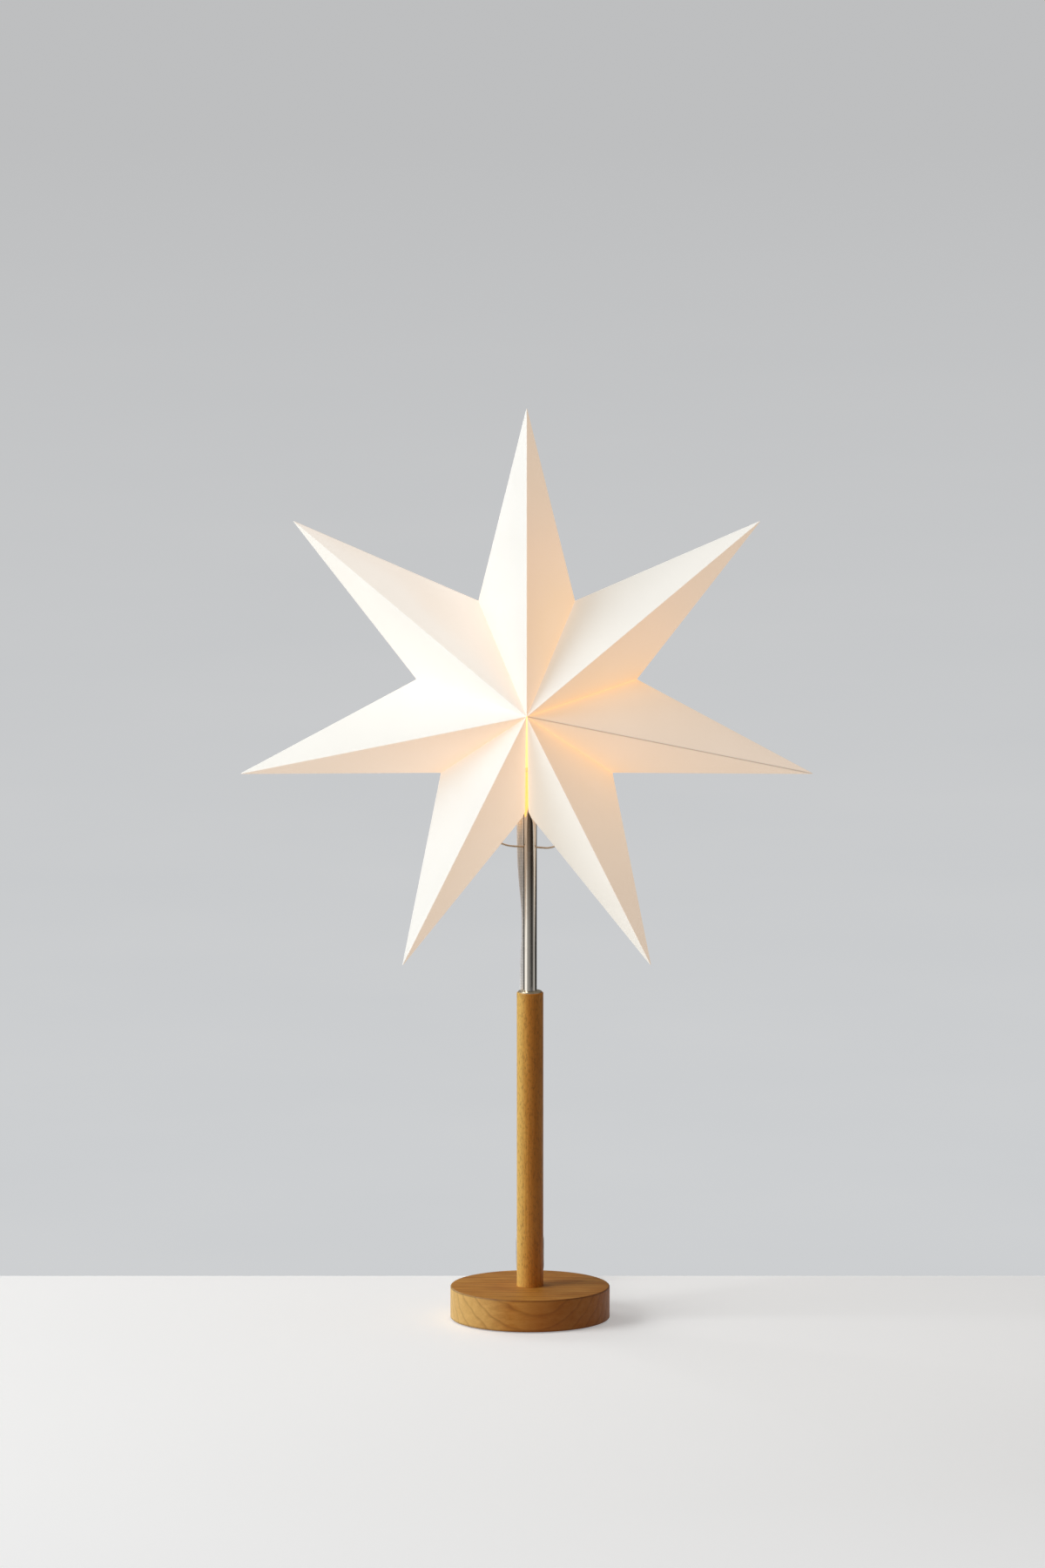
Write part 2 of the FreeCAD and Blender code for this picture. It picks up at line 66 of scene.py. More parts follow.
class Shade:
    """A material with a principled shader, and short calls for its node tree."""

    def __init__(self, name):
        self.material = bpy.data.materials.new(name)
        self.material.use_nodes = True
        self.tree = self.material.node_tree
        self.shader = self.tree.nodes["Principled BSDF"]

    def add(self, kind, **settings):
        node = self.tree.nodes.new(kind)
        for key, value in settings.items():
            setattr(node, key, value)
        return node

    def feed(self, socket, value):
        if isinstance(value, bpy.types.NodeSocket):
            self.tree.links.new(value, socket)
        elif isinstance(value, (tuple, list)) and len(value) == 3 and len(socket.default_value) == 4:
            socket.default_value = (*value, 1.0)
        else:
            socket.default_value = value

    def set(self, **sockets):
        for name, value in sockets.items():
            self.feed(self.shader.inputs[name.replace("_", " ")], value)

    def place(self):
        return self.add("ShaderNodeTexCoord").outputs["Object"]

    def attribute(self, name):
        return self.add("ShaderNodeAttribute", attribute_name=name).outputs["Fac"]

    def mapped(self, vector, scale=(1, 1, 1), turn=(0, 0, 0)):
        node = self.add("ShaderNodeMapping")
        self.feed(node.inputs["Vector"], vector)
        node.inputs["Scale"].default_value = scale
        node.inputs["Rotation"].default_value = turn
        return node.outputs["Vector"]

    def math(self, operation, first, second=0.0, clamp=False):
        node = self.add("ShaderNodeMath", operation=operation, use_clamp=clamp)
        self.feed(node.inputs[0], first)
        self.feed(node.inputs[1], second)
        return node.outputs[0]

    def times(self, first, second):
        return self.math("MULTIPLY", first, second)

    def plus(self, first, second, clamp=False):
        return self.math("ADD", first, second, clamp)

    def minus(self, first, second, clamp=False):
        return self.math("SUBTRACT", first, second, clamp)

    def vector(self, operation, first, second=(0, 0, 0), output="Vector"):
        node = self.add("ShaderNodeVectorMath", operation=operation)
        self.feed(node.inputs[0], first)
        self.feed(node.inputs[1], second)
        return node.outputs[output]

    def split(self, vector):
        """The X, Y and Z of a vector, by name."""
        node = self.add("ShaderNodeSeparateXYZ")
        self.feed(node.inputs[0], vector)
        return node.outputs

    def noise(self, vector, scale, detail=3.0, rough=0.5):
        node = self.add("ShaderNodeTexNoise")
        self.feed(node.inputs["Vector"], vector)
        node.inputs["Scale"].default_value = scale
        node.inputs["Detail"].default_value = detail
        node.inputs["Roughness"].default_value = rough
        return node.outputs["Fac"]

    def mix(self, factor, first, second, blend="MIX"):
        node = self.add("ShaderNodeMix", data_type="RGBA", blend_type=blend)
        self.feed(node.inputs["Factor"], factor)
        self.feed(node.inputs[6], first)
        self.feed(node.inputs[7], second)
        return node.outputs[2]

    def span(self, value, low, high, to_low=0.0, to_high=1.0):
        node = self.add("ShaderNodeMapRange")
        self.feed(node.inputs["Value"], value)
        node.inputs["From Min"].default_value = low
        node.inputs["From Max"].default_value = high
        node.inputs["To Min"].default_value = to_low
        node.inputs["To Max"].default_value = to_high
        return node.outputs["Result"]

    def ramp(self, value, stops):
        node = self.add("ShaderNodeValToRGB")
        self.feed(node.inputs["Fac"], value)
        elements = node.color_ramp.elements
        while len(elements) < len(stops):
            elements.new(0.5)
        for element, (at, colour) in zip(elements, stops):
            element.position = at
            element.color = (*colour, 1.0)
        return node.outputs["Color"]

    def bump(self, height, distance, strength=1.0):
        node = self.add("ShaderNodeBump")
        self.feed(node.inputs["Height"], height)
        node.inputs["Distance"].default_value = distance
        node.inputs["Strength"].default_value = strength
        self.tree.links.new(node.outputs["Normal"], self.shader.inputs["Normal"])


def rgb(*screen):
    """Linear values of a colour given as it looks on screen."""
    return tuple(c / 12.92 if c < 0.04045 else ((c + 0.055) / 1.055) ** 2.4 for c in screen)


# Materials


# Emission that paints the bulb's light through the paper, and the reaches of the painted crease highlight
# and seam shade
GLOW_REACH = 0.045
WARM_GLOW = [(0.0, (0.47, 0.375, 0.295)), (0.25, (0.55, 0.41, 0.29)),
             (0.55, (0.635, 0.425, 0.27)), (1.0, (0.655, 0.415, 0.225))]
PALE_GLOW = [(0.16, (0.64, 0.51, 0.40)), (0.23, (0.635, 0.565, 0.49)), (0.51, (0.50, 0.47, 0.405)),
             (0.765, (0.45, 0.435, 0.39)), (0.81, (0.40, 0.39, 0.345)), (0.93, (0.33, 0.325, 0.29))]
LIT_SIDE_GLOW = [(0.0, (0.30, 0.13, 0.03)), (0.4, (0.72, 0.38, 0.12)), (1.0, (1.15, 0.66, 0.26))]
CREASE_HIGHLIGHT_REACH = 0.0007
RIM_HIGHLIGHT_REACH = 0.0006
SEAM_REACH = (0.00015, 0.0006)
LEAK_FADE = 150.0
LEAK_CORE_FADE = 1500.0


def bulb_light(shade):
    """How strongly the bulb lights the paper here, from 0 to 1: less with distance and slant."""
    away = shade.vector("SUBTRACT", shade.place(), tuple(GLOW_CENTRE))
    distance = shade.vector("LENGTH", away, output="Value")
    normal = shade.add("ShaderNodeNewGeometry").outputs["True Normal"]
    facing = shade.vector("DOT_PRODUCT", shade.vector("NORMALIZE", away), normal, output="Value")
    near = shade.math("POWER", shade.math("DIVIDE", GLOW_REACH, distance), 2.0)
    light = shade.math("MULTIPLY", near, shade.math("ABSOLUTE", facing), clamp=True)
    return shade.math("POWER", light, 0.4)


def fading(shade, distance, rate):
    """Exponential fall, from 1 at a fold to nothing away from it."""
    return shade.math("POWER", 2.718, shade.times(distance, -rate))


def paper_surface(shade):
    """Fibres and faint clouding of white paper. Gives the tone from 0 to 1."""
    place = shade.place()
    fibre = shade.noise(place, 1500.0, 4.0, 0.6)
    cloud = shade.noise(place, 28.0, 3.0)
    grain = shade.noise(shade.mapped(place, (1.0, 1.0, 0.35)), 420.0, 2.0)
    shade.bump(shade.plus(fibre, grain), 0.00012, 0.35)
    shade.set(Roughness=shade.span(fibre, 0.3, 0.7, 0.78, 0.92))
    return shade.plus(shade.times(fibre, 0.45), shade.times(cloud, 0.55))


def outer_paper():
    """White paper. Emission paints the bulb's light through it, paler on facets facing the daylight."""
    shade = Shade("star_paper")
    tone = shade.span(paper_surface(shade), 0.35, 0.65)
    colour = shade.mix(tone, rgb(0.845, 0.84, 0.835), rgb(0.87, 0.868, 0.862))
    ridge, rim, valley, leak, seam_shade = map(shade.attribute, ("ridge", "rim", "valley", "leak", "seam_shade"))
    # Painted highlight along the creases and the rims
    crease = shade.span(ridge, 0.0, CREASE_HIGHLIGHT_REACH, 1.0, 0.0)
    fold = shade.math("MAXIMUM", crease, shade.span(rim, 0.0, RIM_HIGHLIGHT_REACH, 1.0, 0.0))
    colour = shade.mix(shade.times(fold, 0.5), colour, rgb(0.93, 0.925, 0.92))
    # Painted shade line along the seamed ridges: darker paper here, and less glow below
    seam_shade_line = shade.times(shade.span(ridge, *SEAM_REACH, 1.0, 0.0), seam_shade)
    colour = shade.mix(shade.times(seam_shade_line, 0.6), colour, rgb(0.55, 0.52, 0.48))
    shade.set(Base_Color=colour, Specular_IOR_Level=0.25, Sheen_Weight=0.05)
    # Painted light: the glow is warm where the bulb is near, and paler and weaker where a facet faces the
    # daylight
    normal = shade.add("ShaderNodeNewGeometry").outputs["True Normal"]
    facing = shade.vector("DOT_PRODUCT", normal, tuple(DAYLIGHT), output="Value")
    warm = shade.ramp(bulb_light(shade), WARM_GLOW)
    pale = shade.ramp(facing, PALE_GLOW)
    glow = shade.mix(shade.span(facing, 0.11, 0.23), warm, pale)
    # Painted light leaking along the valleys, wide and in a thin core
    wide = shade.times(leak, fading(shade, valley, LEAK_FADE))
    thin = shade.times(leak, fading(shade, valley, LEAK_CORE_FADE))
    glow = shade.mix(shade.times(wide, 0.85), glow, (0.68, 0.37, 0.15))
    glow = shade.mix(thin, glow, (0.22, 0.06, 0.0), "ADD")
    # Less glow along the painted seam shade line
    glow = shade.mix(shade.times(seam_shade_line, 0.5), glow, (0.19, 0.17, 0.15))
    shade.set(Emission_Color=glow, Emission_Strength=1.0)
    return shade.material


def inner_paper():
    """The side of the paper that faces the bulb, with the bulb's warm light painted on it as emission."""
    shade = Shade("star_paper_lit_side")
    tone = shade.span(paper_surface(shade), 0.35, 0.65)
    shade.set(Base_Color=shade.mix(tone, rgb(0.95, 0.92, 0.87), rgb(0.98, 0.96, 0.92)))
    shade.set(Emission_Color=shade.ramp(bulb_light(shade), LIT_SIDE_GLOW), Emission_Strength=1.0)
    return shade.material


RING_WIDTH = 0.0062
RING_LEAN = math.radians(30)
RING_SWAY = 0.016


def foot_wood():
    """A flat-sawn disc. Its steep ring planes run along X and show as slanting lines on the side,
    which is paler on the left and darker from the middle on: painted light and shade."""
    shade = Shade("foot_wood")
    place = shade.mapped(shade.place(), turn=(0.0, 0.03, 0.05))
    sway = shade.noise(shade.mapped(place, (14.0, 30.0, 30.0)), 1.0, 3.0)
    tilted = shade.split(place)
    rise = shade.times(tilted["Z"], math.sin(RING_LEAN))
    ring = shade.minus(rise, shade.times(tilted["Y"], math.cos(RING_LEAN)))
    ring = shade.plus(ring, shade.times(sway, RING_SWAY))
    share = shade.math("FRACT", shade.math("DIVIDE", ring, RING_WIDTH))
    late = shade.ramp(share, [(at, (dark, dark, dark)) for at, dark in
                              ((0.0, 0.0), (0.62, 0.25), (0.86, 1.0), (0.97, 0.0))])
    streak = shade.noise(shade.mapped(place, (22.0, 420.0, 420.0)), 1.0, 3.0, 0.6)
    speck = shade.noise(shade.mapped(place, (480.0, 1100.0, 1100.0)), 1.0, 2.0, 0.6)
    patch = shade.noise(shade.mapped(place, (40.0, 90.0, 90.0)), 1.0, 4.0, 0.6)
    tone = shade.plus(shade.times(streak, 0.32), shade.times(patch, 0.50))
    tone = shade.plus(tone, shade.times(speck, 0.14))
    tone = shade.plus(tone, shade.times(late, 0.15), clamp=True)
    colour = shade.ramp(tone, [(0.34, rgb(0.88, 0.645, 0.30)), (0.52, rgb(0.79, 0.53, 0.195)),
                               (0.72, rgb(0.66, 0.40, 0.11))])
    flat = shade.vector("MULTIPLY", shade.place(), (1, 1, 0))
    turned = shade.vector("LENGTH", flat, output="Value")
    side = shade.span(turned, (FOOT_RADIUS - 0.9) * MM, (FOOT_RADIUS - 0.3) * MM)
    spot = shade.split(shade.place())
    # Painted shade: darker towards the right on the top and the side, as the daylight falls from the left
    shade_to_right = shade.span(spot["X"], -0.01, 0.05, 0.0, 0.35)
    colour = shade.mix(shade_to_right, colour, rgb(0.63, 0.37, 0.09))
    right_shade = shade.times(shade.span(spot["X"], -0.022, 0.006, 0.0, 0.5), side)
    colour = shade.mix(right_shade, colour, rgb(0.75, 0.37, 0.03))
    # Painted light: paler on the left of the side, where the daylight falls
    lit_left_side = shade.times(shade.span(spot["X"], -0.012, -0.046, 0.0, 0.75), side)
    pale = shade.mix(tone, rgb(1.0, 0.87, 0.57), rgb(0.90, 0.72, 0.39))
    colour = shade.mix(lit_left_side, colour, pale)
    line = shade.times(shade.span(late, 0.5, 1.0, 0.0, 0.24), side)
    colour = shade.mix(line, colour, rgb(0.55, 0.34, 0.10))
    # A darker band along the top rim, and painted shade along the foot of the side where it meets the table
    from_top = shade.math("ABSOLUTE", shade.minus(spot["Z"], (FOOT_TOP - 0.3) * MM))
    upper = shade.span(from_top, 0.0002, 0.0008, 1.0, 0.0)
    lower = shade.span(spot["Z"], 0.0008, 0.0020, 1.0, 0.0)
    edge = shade.times(shade.math("MAXIMUM", upper, lower), side)
    colour = shade.mix(shade.times(edge, 0.55), colour, rgb(0.40, 0.23, 0.07))
    shade.set(Base_Color=colour, Roughness=shade.span(streak, 0.3, 0.7, 0.44, 0.58))
    shade.set(Specular_IOR_Level=0.4)
    shade.bump(shade.plus(shade.times(streak, 0.5), shade.times(speck, -0.5)), 0.0002, 0.4)
    return shade.material


def post_wood():
    """Fine straight grain along the post, short dark pores, painted light left and painted shade right."""
    shade = Shade("post_wood")
    place = shade.place()
    streak = shade.noise(shade.mapped(place, (900.0, 900.0, 28.0)), 1.0, 3.0, 0.62)
    broad = shade.noise(shade.mapped(place, (170.0, 170.0, 7.0)), 1.0, 3.0)
    pores = shade.noise(shade.mapped(place, (1150.0, 1150.0, 380.0)), 1.0, 2.0, 0.6)
    patch = shade.noise(place, 55.0, 4.0, 0.6)
    tone = shade.plus(shade.times(streak, 0.5), shade.times(broad, 0.32))
    tone = shade.plus(tone, shade.times(patch, 0.22), clamp=True)
    colour = shade.ramp(tone, [(0.3, rgb(0.95, 0.74, 0.37)), (0.52, rgb(0.87, 0.62, 0.245)),
                               (0.75, rgb(0.72, 0.455, 0.125))])
    aside = shade.split(place)["X"]
    # Painted shade to the right of the middle, and painted light on the left, as the daylight falls
    right_shade = shade.span(aside, -0.0032, -0.0002, 0.0, 0.58)
    colour = shade.mix(right_shade, colour, rgb(0.78, 0.42, 0.06))
    pale = shade.span(aside, -0.0030, -0.0060, 0.0, 0.62)
    colour = shade.mix(pale, colour, rgb(0.95, 0.80, 0.43))
    colour = shade.mix(shade.span(pores, 0.50, 0.68, 0.0, 0.45), colour, rgb(0.52, 0.29, 0.06))
    shade.set(Base_Color=colour, Roughness=shade.span(streak, 0.3, 0.7, 0.42, 0.60))
    shade.set(Specular_IOR_Level=0.4)
    shade.bump(shade.plus(shade.times(streak, 0.6), shade.times(pores, -0.6)), 0.0002, 0.4)
    return shade.material


def metal(name, colour, roughness, streaks=(600.0, 600.0, 14.0)):
    """Polished or brushed metal with faint drawn lines and a few dull spots."""
    shade = Shade(name)
    place = shade.place()
    drawn = shade.noise(shade.mapped(place, streaks), 1.0, 3.0, 0.6)
    dull = shade.noise(place, 160.0, 4.0, 0.6)
    low, high = roughness
    worn = shade.span(dull, 0.55, 0.8, 0.0, 0.08)
    rough = shade.plus(shade.span(drawn, 0.35, 0.65, low, high), worn)
    darker = tuple(c * 0.86 for c in colour)
    shade.set(Base_Color=shade.mix(drawn, colour, darker), Metallic=1.0, Roughness=rough)
    shade.bump(drawn, 0.00002, 0.25)
    return shade.material


def moulded(name, colour, roughness=0.42, coat=0.0):
    """Moulded plastic or glazed ware: slight flow marks and a very fine texture."""
    shade = Shade(name)
    place = shade.place()
    flow = shade.noise(place, 90.0, 3.0)
    fine = shade.noise(place, 2600.0, 2.0)
    darker = tuple(c * 0.9 for c in colour)
    shade.set(Base_Color=shade.mix(shade.span(flow, 0.3, 0.7), colour, darker))
    shade.set(Roughness=shade.span(fine, 0.3, 0.7, roughness - 0.06, roughness + 0.06))
    shade.set(Coat_Weight=coat)
    shade.bump(fine, 0.00003, 0.3)
    return shade.material


def felt():
    """Short matted hair."""
    shade = Shade("felt")
    place = shade.place()
    hair = shade.noise(place, 1400.0, 5.0, 0.7)
    patch = shade.noise(place, 60.0, 3.0)
    tone = shade.plus(shade.times(hair, 0.7), shade.times(patch, 0.3))
    shade.set(Base_Color=shade.mix(tone, rgb(0.24, 0.20, 0.17), rgb(0.38, 0.33, 0.29)))
    shade.set(Roughness=0.95, Sheen_Weight=0.4)
    shade.bump(hair, 0.0004, 0.8)
    return shade.material


def braided(name, light, dark, pitch, around):
    """Woven cover of a cord, from its length and turn attributes."""
    shade = Shade(name)
    along = shade.times(shade.attribute("along"), 2 * math.pi / pitch)
    turn = shade.times(shade.attribute("turn"), 2 * math.pi * around)
    one = shade.math("SINE", shade.plus(along, turn))
    other = shade.math("SINE", shade.minus(along, turn))
    weave = shade.span(shade.times(one, other), -1.0, 1.0)
    fuzz = shade.noise(shade.place(), 2400.0, 3.0, 0.6)
    tone = shade.plus(shade.times(weave, 0.7), shade.times(fuzz, 0.3), clamp=True)
    shade.set(Base_Color=shade.mix(tone, dark, light), Roughness=shade.span(fuzz, 0.3, 0.7, 0.7, 0.9))
    shade.set(Sheen_Weight=0.2)
    shade.bump(tone, 0.0002, 0.6)
    return shade.material


def frosted_glass():
    """Milky glass of the lit bulb."""
    shade = Shade("bulb_glass")
    haze = shade.noise(shade.place(), 240.0, 3.0)
    shade.set(Base_Color=shade.mix(haze, rgb(0.99, 0.95, 0.88), rgb(0.97, 0.92, 0.84)))
    shade.set(Roughness=shade.span(haze, 0.3, 0.7, 0.35, 0.5), Emission_Color=(1.0, 0.72, 0.38, 1.0))
    shade.set(Emission_Strength=2.4)
    return shade.material


# Painted reflection of a room: tones by degrees from straight ahead to the right, and by distance
ROOM_TONES = [(-180, 0.10), (-130, 0.06), (-108, 0.60), (-74, 2.0), (-56, 1.0), (-40, 0.46),
              (-8, 0.28), (18, 0.06), (38, 0.06), (56, 0.26), (72, 0.80), (84, 0.35), (96, 0.07),
              (140, 0.04), (180, 0.10)]
ROOM_DEPTH = [(0.40, (1.0, 1.0, 1.0)), (0.57, (0.64, 0.55, 0.46)), (0.68, (0.42, 0.29, 0.19)),
              (0.85, (0.42, 0.235, 0.13))]


def room(shade, parts, away):
    """A painted reflection of the room in polished metal: bright on the left, and darker and browner
    further off, which paints the star's warm underside on the upper rod. Its tones go by the
    degrees from straight ahead to the right."""
    turn = shade.math("ARCTAN2", parts["X"], shade.times(parts["Y"], -1.0))
    turn = shade.plus(shade.math("DIVIDE", turn, 2 * math.pi), 0.5)
    ring = shade.ramp(turn, [(0.5 + degrees / 360, (tone, tone * 0.985, tone * 0.95))
                             for degrees, tone in ROOM_TONES])
    depth = shade.ramp(shade.span(away, 1.0, 2.0), ROOM_DEPTH)
    return shade.mix(1.0, ring, depth, "MULTIPLY")


SHARP_HALF_WIDTH = 0.36
EDGE_BLUR = 0.0012
BLUR_SLOPE = 0.9
TABLE_ENDS = (0.55, 1.8)
ROOM_STARTS = (0.85, 1.0)
TABLE_LIFT = 0.31


def floor_surface():
    """Pale table top, and the light grey ground behind it, which camera and mirror rays see. For
    all other rays it is plain grey. Mirror rays see the painted room reflection further off."""
    shade = Shade("ground")
    parts = shade.split(shade.place())
    away = shade.vector("LENGTH", shade.place(), output="Value")
    aside = shade.minus(shade.math("ABSOLUTE", parts["X"]), SHARP_HALF_WIDTH)
    aside = shade.math("MAXIMUM", aside, 0.0)
    past = shade.minus(parts["Y"], TABLE_EDGE)
    blur = shade.plus(shade.times(aside, BLUR_SLOPE), EDGE_BLUR)
    behind = shade.math("DIVIDE", past, blur, clamp=True)
    behind = shade.math("MAXIMUM", behind, shade.span(away, *TABLE_ENDS))
    cloud = shade.noise(shade.place(), 3.0, 4.0)
    white = shade.mix(cloud, rgb(0.94, 0.94, 0.94), rgb(0.955, 0.955, 0.953))
    grey = shade.mix(cloud, rgb(0.79, 0.80, 0.81), rgb(0.82, 0.825, 0.83))
    grey = shade.mix(shade.span(parts["Y"], 0.5, 5.5), grey, rgb(0.745, 0.748, 0.752))
    seen = shade.add("ShaderNodeLightPath")
    ray = shade.math("MAXIMUM", seen.outputs["Is Camera Ray"], seen.outputs["Is Glossy Ray"])
    colour = shade.mix(ray, (0.50, 0.50, 0.50), shade.mix(behind, white, grey))
    shade.set(Base_Color=colour, Roughness=0.6, Specular_IOR_Level=0.2)
    mirrored = shade.times(seen.outputs["Is Glossy Ray"], shade.span(away, *ROOM_STARTS))
    glow = shade.add("ShaderNodeEmission")
    backdrop = shade.mix(behind, (1.0, 1.0, 1.0), grey)
    shade.feed(glow.inputs["Color"], shade.mix(mirrored, backdrop, room(shade, parts, away)))
    join = shade.add("ShaderNodeMixShader")
    share = shade.math("MAXIMUM", behind, mirrored)
    shade.feed(join.inputs[0], shade.times(ray, share))
    shade.feed(join.inputs[1], shade.shader.outputs[0])
    shade.feed(join.inputs[2], glow.outputs[0])
    lift = shade.add("ShaderNodeEmission")
    near = shade.minus(ray, share, clamp=True)
    shade.feed(lift.inputs["Strength"], shade.times(near, TABLE_LIFT))
    both = shade.add("ShaderNodeAddShader")
    shade.feed(both.inputs[0], join.outputs[0])
    shade.feed(both.inputs[1], lift.outputs[0])
    shade.feed(shade.tree.nodes["Material Output"].inputs["Surface"], both.outputs[0])
    return shade.material


# Mesh helpers


@contextmanager
def opened(mesh):
    """A mesh open for edits, which are written back at the end."""
    bm = bmesh.new()
    bm.from_mesh(mesh)
    yield bm
    bm.to_mesh(mesh)
    bm.free()


def placed(name, data):
    """A new object in the scene."""
    made = bpy.data.objects.new(name, data)
    bpy.context.scene.collection.objects.link(made)
    return made


def to_piece(name, mesh, slot, materials, *nodes):
    """Link a mesh as a piece that rides on the lamp and stands for the named solids."""
    piece = placed(name, mesh)
    for material in materials:
        mesh.materials.append(material)
    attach(piece, "root")
    if nodes:
        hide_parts(*nodes)
    return piece


def smooth(mesh, angle=35.0):
    """Smooth shading with edges kept sharp above an angle."""
    mesh.polygons.foreach_set("use_smooth", [True] * len(mesh.polygons))
    limit = math.radians(angle)
    with opened(mesh) as bm:
        for edge in bm.edges:
            edge.smooth = len(edge.link_faces) == 2 and edge.calc_face_angle(0.0) < limit


def store(mesh, label, values):
    """Keep one number per point on the mesh, for its material."""
    mesh.attributes.new(label, "FLOAT", "POINT").data.foreach_set("value", values)


def mesh_of(name, points, faces):
    """A mesh with its faces turned outwards."""
    mesh = bpy.data.meshes.new(name)
    mesh.from_pydata(points, [], faces)
    with opened(mesh) as bm:
        bmesh.ops.recalc_face_normals(bm, faces=bm.faces)
    return mesh


def lathe(name, profile, segments):
    """A closed turned solid. Its profile is (radius, height) in millimetres, 0 being the axis."""
    points, faces, rows = [], [], []
    for radius, height in profile:
        if radius == 0:
            rows.append([len(points)] * segments)
            points.append((0, 0, height * MM))
            continue
        rows.append(list(range(len(points), len(points) + segments)))
        for number in range(segments):
            angle = 2 * math.pi * number / segments
            across, ahead = radius * MM * math.cos(angle), radius * MM * math.sin(angle)
            points.append((across, ahead, height * MM))
    closed = profile[0][0] != 0
    for number in range(len(rows) if closed else len(rows) - 1):
        low, high = rows[number], rows[(number + 1) % len(rows)]
        for step in range(segments):
            after = (step + 1) % segments
            corners = [low[step], low[after], high[after], high[step]]
            faces.append(tuple(dict.fromkeys(corners)))
    mesh = mesh_of(name, points, faces)
    smooth(mesh)
    return mesh


def rounded(radius, low, high, fillet, steps=5):
    """Profile of a disc's side and rounded edges, from its foot up."""
    points = []
    for number in range(steps + 1):
        angle = math.pi / 2 * number / steps
        points.append((radius - fillet * (1 - math.sin(angle)), low + fillet * (1 - math.cos(angle))))
    for number in range(steps + 1):
        angle = math.pi / 2 * number / steps
        points.append((radius - fillet * (1 - math.cos(angle)), high - fillet * (1 - math.sin(angle))))
    return points


def route_of(points, resolution=10):
    """Points along the smooth NURBS line with these control points."""
    curve = bpy.data.curves.new("route", "CURVE")
    curve.dimensions = "3D"
    spline = curve.splines.new("NURBS")
    spline.points.add(len(points) - 1)
    for knot, point in zip(spline.points, points):
        knot.co = (*point, 1.0)
    spline.order_u = 3
    spline.use_endpoint_u = True
    spline.resolution_u = resolution
    holder = placed("route", curve)
    graph = bpy.context.evaluated_depsgraph_get()
    mesh = bpy.data.meshes.new_from_object(holder.evaluated_get(graph))
    line = [vertex.co.copy() for vertex in mesh.vertices]
    bpy.data.objects.remove(holder)
    bpy.data.curves.remove(curve)
    bpy.data.meshes.remove(mesh)
    kept = [line[0]]
    for point in line[1:]:
        if (point - kept[-1]).length > 1e-5:
            kept.append(point)
    return kept


def tube_parts(line, radius, sides, first=0):
    """Points, faces and attributes of a capped tube along a line, with no twist."""
    points, faces, along, turn = [], [], [], []
    normal = None
    length = 0.0
    for number, centre in enumerate(line):
        before = line[max(number - 1, 0)]
        after = line[min(number + 1, len(line) - 1)]
        ahead = (after - before).normalized()
        if normal is None:
            normal = ahead.orthogonal().normalized()
        normal = (normal - ahead * normal.dot(ahead)).normalized()
        side = ahead.cross(normal)
        if number:
            length += (centre - line[number - 1]).length
        size = radius(length) if callable(radius) else radius
        for step in range(sides):
            angle = 2 * math.pi * step / sides
            points.append(centre + (normal * math.cos(angle) + side * math.sin(angle)) * size)
            along.append(length)
            turn.append(step / sides)
    for number in range(len(line) - 1):
        for step in range(sides):
            after = (step + 1) % sides
            low = first + number * sides
            faces.append((low + step, low + after, low + sides + after, low + sides + step))
    faces.append(tuple(first + step for step in range(sides))[::-1])
    faces.append(tuple(first + (len(line) - 1) * sides + step for step in range(sides)))
    return points, faces, along, turn


def tubes(name, lines, radius, sides):
    """One mesh of several tubes, with length and turn attributes."""
    points, faces, along, turn = [], [], [], []
    for line in lines:
        made = tube_parts(line, radius, sides, len(points))
        points += made[0]
        faces += made[1]
        along += made[2]
        turn += made[3]
    mesh = bpy.data.meshes.new(name)
    mesh.from_pydata(points, [], faces)
    store(mesh, "along", along)
    store(mesh, "turn", turn)
    smooth(mesh, 60.0)
    return mesh


def cut_by(piece, *cutters):
    """Cut shapes out of a piece's mesh for good, keeping its attributes."""
    for cutter in cutters:
        change = piece.modifiers.new("cut", "BOOLEAN")
        change.operation = "DIFFERENCE"
        change.solver = "EXACT"
        change.object = cutter
    applied(piece)
    for cutter in cutters:
        bpy.data.objects.remove(cutter)


def applied(piece):
    """Replace a piece's mesh by what its modifiers make of it."""
    graph = bpy.context.evaluated_depsgraph_get()
    mesh = bpy.data.meshes.new_from_object(piece.evaluated_get(graph), depsgraph=graph)
    old = piece.data
    piece.modifiers.clear()
    piece.data = mesh
    mesh.name = piece.name
    bpy.data.meshes.remove(old)


def cylinder_cutter(radius, start, end):
    """A temporary cylinder between two points."""
    turn = (end - start).to_track_quat("Z", "Y").to_matrix().to_4x4()
    seat = Matrix.Translation((start + end) / 2) @ turn
    mesh = bpy.data.meshes.new("cutter")
    with opened(mesh) as bm:
        bmesh.ops.create_cone(bm, cap_ends=True, segments=64, radius1=radius, radius2=radius,
                              depth=(end - start).length)
        bmesh.ops.transform(bm, matrix=seat, verts=bm.verts)
    return placed("cutter", mesh)


# Paper star

FACET_STEPS = 26
BULGE = 0.0005
WAVER = 0.0003
SLIT_AT_CENTRE = 0.00025
SLIT_AT_CORNER = 0.0010
RIPPLES_PER_METRE = 22.0
CREASE_ROUND = 0.00035
# Foot, height and radius of the round mouth at the slit's foot, for the rod and the cord
MOUTH = Vector((-0.00254, 0.0036, 0.298))
MOUTH_HEIGHT = Vector((0, 0, 0.051))
MOUTH_RADIUS = 0.0088
# Painted light leaking at the valleys, clockwise from one side of the slit to the other
LEAKS = [0.30, 0.45, 0.12, 0.30, 0.28, 1.0, 0.85, 0.30]
